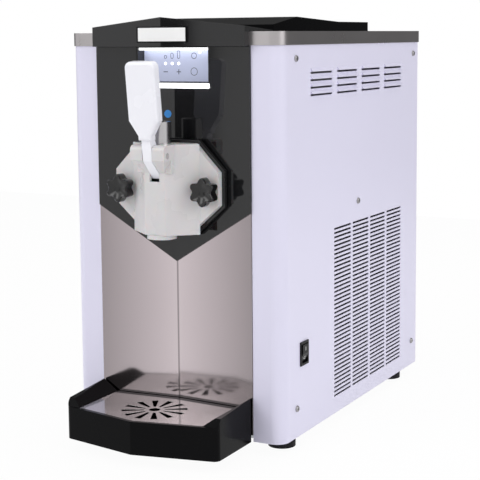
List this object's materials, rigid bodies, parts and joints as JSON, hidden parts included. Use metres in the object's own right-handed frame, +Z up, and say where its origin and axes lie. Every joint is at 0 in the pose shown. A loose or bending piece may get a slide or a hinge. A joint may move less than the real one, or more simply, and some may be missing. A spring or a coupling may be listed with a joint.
{
  "type": "ice cream maker",
  "caption": "Countertop soft-serve ice cream maker: hopper with lift-off lid, draw handle lifting a plunger valve, knob-held door, splash panel, sliding drip tray and grid, side vents.",
  "frame": {"origin": "middle of the bounding box, on the ground under the feet", "axes": "+X to the machine's right seen from its front, +Y from the front to the back, +Z up"},
  "size_m": [0.338, 0.6328, 0.5885],
  "materials": {
    "white_paint": "satin powder coat",
    "stainless": "brushed",
    "bright_steel": "polished",
    "galvanised": "dull",
    "screw_steel": "bright",
    "gloss_black": "gloss",
    "satin_black": "satin",
    "white_plastic": "satin",
    "badge_white": "gloss",
    "key_plate": "gloss",
    "light_lens": "frosted",
    "rubber": "matt",
    "copper": "bright",
    "foam": "matt",
    "motor_paint": "satin",
    "compressor_black": "satin",
    "gear_case": "cast",
    "fin_metal": "dull"
  },
  "bodies": {
    "cabinet": {"left_side_panel": "white_paint", "right_side_panel": "white_paint", "rear_panel": "white_paint", "top_cover": "stainless", "splash_panel": "stainless", "mix_hopper": "stainless", "freezing_cylinder": "bright_steel", "handle_pin": "bright_steel", "door_stud_left": "bright_steel", "door_stud_right": "bright_steel", "feed_tube": "bright_steel", "base_pan": "galvanised", "front_bulkhead": "galvanised", "tray_bracket": "galvanised", "drive_bracket": "galvanised", "fan_strap": "galvanised", "fan_shroud": "galvanised", "panel_screws": "screw_steel", "front_panel": "gloss_black", "front_hood": "gloss_black", "control_housing": "gloss_black", "badge_bezel": "gloss_black", "door_flange": "satin_black", "switch_bezel": "satin_black", "power_inlet": "satin_black", "control_box": "satin_black", "dispensing_door": "white_plastic", "star_nozzle": "white_plastic", "badge_plate": "badge_white", "control_plate": "key_plate", "control_light": "light_lens", "light_sill": "light_lens", "foot_front_left": "rubber", "foot_front_right": "rubber", "foot_rear_left": "rubber", "foot_rear_right": "rubber", "door_seal": "rubber", "shaft_seal": "rubber", "evaporator_jacket": "copper", "filter_drier": "copper", "insulation_jacket": "foam", "drive_motor": "motor_paint", "fan_motor": "motor_paint", "compressor": "compressor_black", "gearbox": "gear_case", "condenser": "fin_metal"},
    "lid": {"hopper_lid": "gloss_black"},
    "tray": {"drip_tray": "gloss_black"},
    "grid": {"drip_grid": "stainless"},
    "handle": {"draw_handle": "white_plastic"},
    "plunger": {"valve_plunger": "bright_steel"},
    "left_knob": {"knob_left": "satin_black"},
    "right_knob": {"knob_right": "satin_black"},
    "mixer": {"beater": "bright_steel", "drive_shaft": "bright_steel"},
    "fan": {"condenser_fan": "satin_black"},
    "switch_key": {"rocker": "satin_black"}
  },
  "joints": [
    {"name": "handle_pull", "type": "hinge", "parent": "cabinet", "child": "handle", "pos_m": [0, -0.2534, 0.406], "axis": [1, 0, 0], "range_deg": [0, 45]},
    {"name": "plunger_lift", "type": "slide", "parent": "cabinet", "child": "plunger", "axis": [0, 0, 1], "range_m": [0, 0.0225]},
    {"name": "left_knob_turn", "type": "hinge", "parent": "cabinet", "child": "left_knob", "pos_m": [-0.0655, -0.22, 0.358], "axis": [0, 1, 0], "continuous": true},
    {"name": "right_knob_turn", "type": "hinge", "parent": "cabinet", "child": "right_knob", "pos_m": [0.0655, -0.22, 0.358], "axis": [0, 1, 0], "continuous": true},
    {"name": "mixer_turn", "type": "hinge", "parent": "cabinet", "child": "mixer", "pos_m": [0, 0, 0.358], "axis": [0, 1, 0], "continuous": true},
    {"name": "fan_turn", "type": "hinge", "parent": "cabinet", "child": "fan", "pos_m": [0.09, 0.1086, 0.169], "axis": [1, 0, 0], "continuous": true},
    {"name": "switch_rock", "type": "hinge", "parent": "cabinet", "child": "switch_key", "pos_m": [0.166, -0.1301, 0.1296], "axis": [0, 1, 0], "range_deg": [-18, 0]},
    {"name": "lid_lift", "type": "slide", "parent": "cabinet", "child": "lid", "axis": [0, 0, 1], "range_m": [0, 0.12]},
    {"name": "tray_pull", "type": "slide", "parent": "cabinet", "child": "tray", "axis": [0, -1, 0], "range_m": [0, 0.11]},
    {"name": "grid_lift", "type": "slide", "parent": "tray", "child": "grid", "axis": [0, 0, 1], "range_m": [0, 0.06]}
  ],
  "couplings": [
    {"joint": "plunger_lift", "follows": "handle_pull", "m_per_rad": 0.0284}
  ]
}
